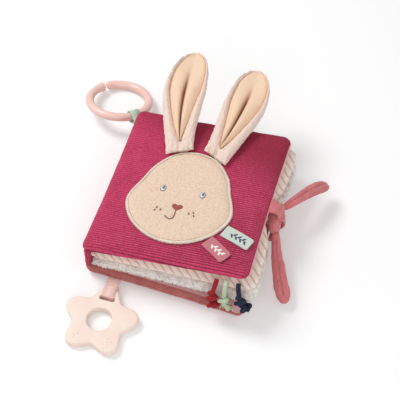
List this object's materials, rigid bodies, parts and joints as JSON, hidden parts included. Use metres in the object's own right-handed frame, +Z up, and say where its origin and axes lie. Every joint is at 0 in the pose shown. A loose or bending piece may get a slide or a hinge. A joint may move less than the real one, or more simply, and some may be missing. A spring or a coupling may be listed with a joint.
{
  "type": "crinkle cloth book",
  "caption": "Padded cloth baby book with a rabbit head cover, raised ears, ribbed and plush leaves, a knotted tie, a star teether and a link ring.",
  "frame": {"origin": "on the surface that the closed book lies on, under the rear cover, at half the spine's length and halfway from the spine to the fore-edge", "axes": "+X from the spine to the fore-edge, +Y from the bottom edge (star side) to the top edge (ears side), +Z up through the book"},
  "size_m": [0.2721, 0.3169, 0.0874],
  "materials": {
    "raspberry_corduroy": "fine corduroy, soft sheen",
    "pale_pink_lining": "matte cotton",
    "dusty_rose_velour": "short velour pile",
    "tie_velour": "short velour pile",
    "wadding": "matte fibre",
    "crinkle_film": "thin crackling film",
    "ribbed_pink": "fat diagonal ribs",
    "white_plush": "fluffy pile",
    "beige_terry": "short looped terry",
    "cream_stitching": "overlock thread",
    "ear_fleece": "short looped fleece",
    "ear_lining": "smooth velour",
    "grey_thread": "satin embroidery",
    "rose_thread": "satin embroidery",
    "mint_label": "woven ribbon with a sprig print",
    "pink_label": "woven ribbon with a sprig print",
    "red_cord": "braided cotton",
    "mint_cord": "braided cotton",
    "navy_cord": "braided cotton",
    "pink_ribbon": "satin ribbon",
    "mint_ribbon": "satin ribbon",
    "peach_silicone": "matte silicone",
    "pink_plastic": "glossy moulded plastic"
  },
  "bodies": {
    "root": {"rear_cover_cloth": "dusty_rose_velour", "rear_cover_lining": "pale_pink_lining", "rear_cover_wadding": "wadding", "rear_cover_film": "crinkle_film", "spine_cloth": "raspberry_corduroy", "spine_lining": "pale_pink_lining", "spine_wadding": "wadding", "tie_rear_strap": "tie_velour"},
    "front_cover": {"front_cover_cloth": "raspberry_corduroy", "front_cover_lining": "pale_pink_lining", "front_cover_wadding": "wadding", "front_cover_film": "crinkle_film", "head_plush": "beige_terry", "head_wadding": "wadding", "head_edge_stitching": "cream_stitching", "eye_left": "grey_thread", "eye_right": "grey_thread", "nose": "rose_thread", "mouth": "rose_thread", "tie_front_strap": "tie_velour", "tie_knot": "tie_velour"},
    "leaf_1": {"leaf_1_front_cloth": "ribbed_pink", "leaf_1_back_cloth": "pale_pink_lining", "leaf_1_wadding": "wadding", "leaf_1_film": "crinkle_film", "leaf_1_gutter": "pale_pink_lining", "cord_red": "red_cord", "cord_red_knot": "red_cord", "cord_mint": "mint_cord", "cord_mint_knot": "mint_cord", "cord_navy": "navy_cord", "cord_navy_knot": "navy_cord"},
    "leaf_2": {"leaf_2_front_cloth": "white_plush", "leaf_2_back_cloth": "white_plush", "leaf_2_wadding": "wadding", "leaf_2_film": "crinkle_film", "leaf_2_gutter": "white_plush"},
    "ear_left": {"ear_left_fleece": "ear_fleece", "ear_left_lining": "ear_lining"},
    "ear_right": {"ear_right_fleece": "ear_fleece", "ear_right_lining": "ear_lining"},
    "mint_label_flap": {"label_mint": "mint_label"},
    "pink_label_flap": {"label_pink": "pink_label"},
    "tail_upper": {"tie_tail_upper": "tie_velour"},
    "tail_lower": {"tie_tail_lower": "tie_velour"},
    "star_strap": {"star_ribbon": "pink_ribbon"},
    "star": {"star_teether": "peach_silicone", "star_ribbon_loop": "pink_ribbon"},
    "ring_strap": {"ring_ribbon": "mint_ribbon"},
    "ring": {"ring_link": "pink_plastic"}
  },
  "joints": [
    {"name": "front_cover_hinge", "type": "hinge", "parent": "root", "child": "front_cover", "pos_m": [-0.079, 0, 0.037], "axis": [0, -1, 0], "range_deg": [0, 140]},
    {"name": "leaf_1_hinge", "type": "hinge", "parent": "root", "child": "leaf_1", "pos_m": [-0.0707, 0, 0.03101], "axis": [0, -1, 0], "range_deg": [0, 98]},
    {"name": "leaf_2_hinge", "type": "hinge", "parent": "root", "child": "leaf_2", "pos_m": [-0.0707, 0, 0.01767], "axis": [0, -1, 0], "range_deg": [0, 49]},
    {"name": "ear_left_hinge", "type": "hinge", "parent": "front_cover", "child": "ear_left", "pos_m": [-0.02189, 0.0394, 0.05764], "axis": [0.9966, 0, 0.082], "range_deg": [0, 115]},
    {"name": "ear_right_hinge", "type": "hinge", "parent": "front_cover", "child": "ear_right", "pos_m": [0.01429, 0.0394, 0.06061], "axis": [0.9966, 0, 0.082], "range_deg": [0, 115]},
    {"name": "label_mint_hinge", "type": "hinge", "parent": "front_cover", "child": "mint_label_flap", "pos_m": [0.04504, -0.03987, 0.05915], "axis": [-0.3653, -0.9304, -0.0301], "range_deg": [0, 100]},
    {"name": "label_pink_hinge", "type": "hinge", "parent": "front_cover", "child": "pink_label_flap", "pos_m": [0.03285, -0.05412, 0.05814], "axis": [-0.5716, -0.8192, -0.047], "range_deg": [0, 100]},
    {"name": "tail_upper_hinge", "type": "hinge", "parent": "front_cover", "child": "tail_upper", "pos_m": [0.09036, 0.01687, 0.03702], "axis": [0.8396, -0.5433, 0], "range_deg": [0, 70]},
    {"name": "tail_lower_hinge", "type": "hinge", "parent": "front_cover", "child": "tail_lower", "pos_m": [0.0885, -0.01338, 0.0324], "axis": [-0.9439, -0.3304, 0], "range_deg": [0, 70]},
    {"name": "star_ribbon_hinge", "type": "hinge", "parent": "root", "child": "star_strap", "pos_m": [-0.047, -0.08852, 0.0078], "axis": [-1, 0, 0], "range_deg": [-50, 55]},
    {"name": "star_hinge", "type": "hinge", "parent": "star_strap", "child": "star", "pos_m": [-0.047, -0.096, 0.0097], "axis": [-1, 0, 0], "range_deg": [-30, 25]},
    {"name": "ring_ribbon_hinge", "type": "hinge", "parent": "root", "child": "ring_strap", "pos_m": [-0.07721, 0.08608, 0.01891], "axis": [0.6691, 0.7125, -0.2111], "range_deg": [0, 30]},
    {"name": "ring_hinge", "type": "hinge", "parent": "ring_strap", "child": "ring", "pos_m": [-0.08996, 0.09811, 0.0191], "axis": [0.6691, 0.7125, -0.2111], "range_deg": [-30, 30]}
  ],
  "couplings": [
    {"joint": "leaf_1_hinge", "follows": "front_cover_hinge", "ratio": 0.7},
    {"joint": "leaf_2_hinge", "follows": "front_cover_hinge", "ratio": 0.35}
  ]
}
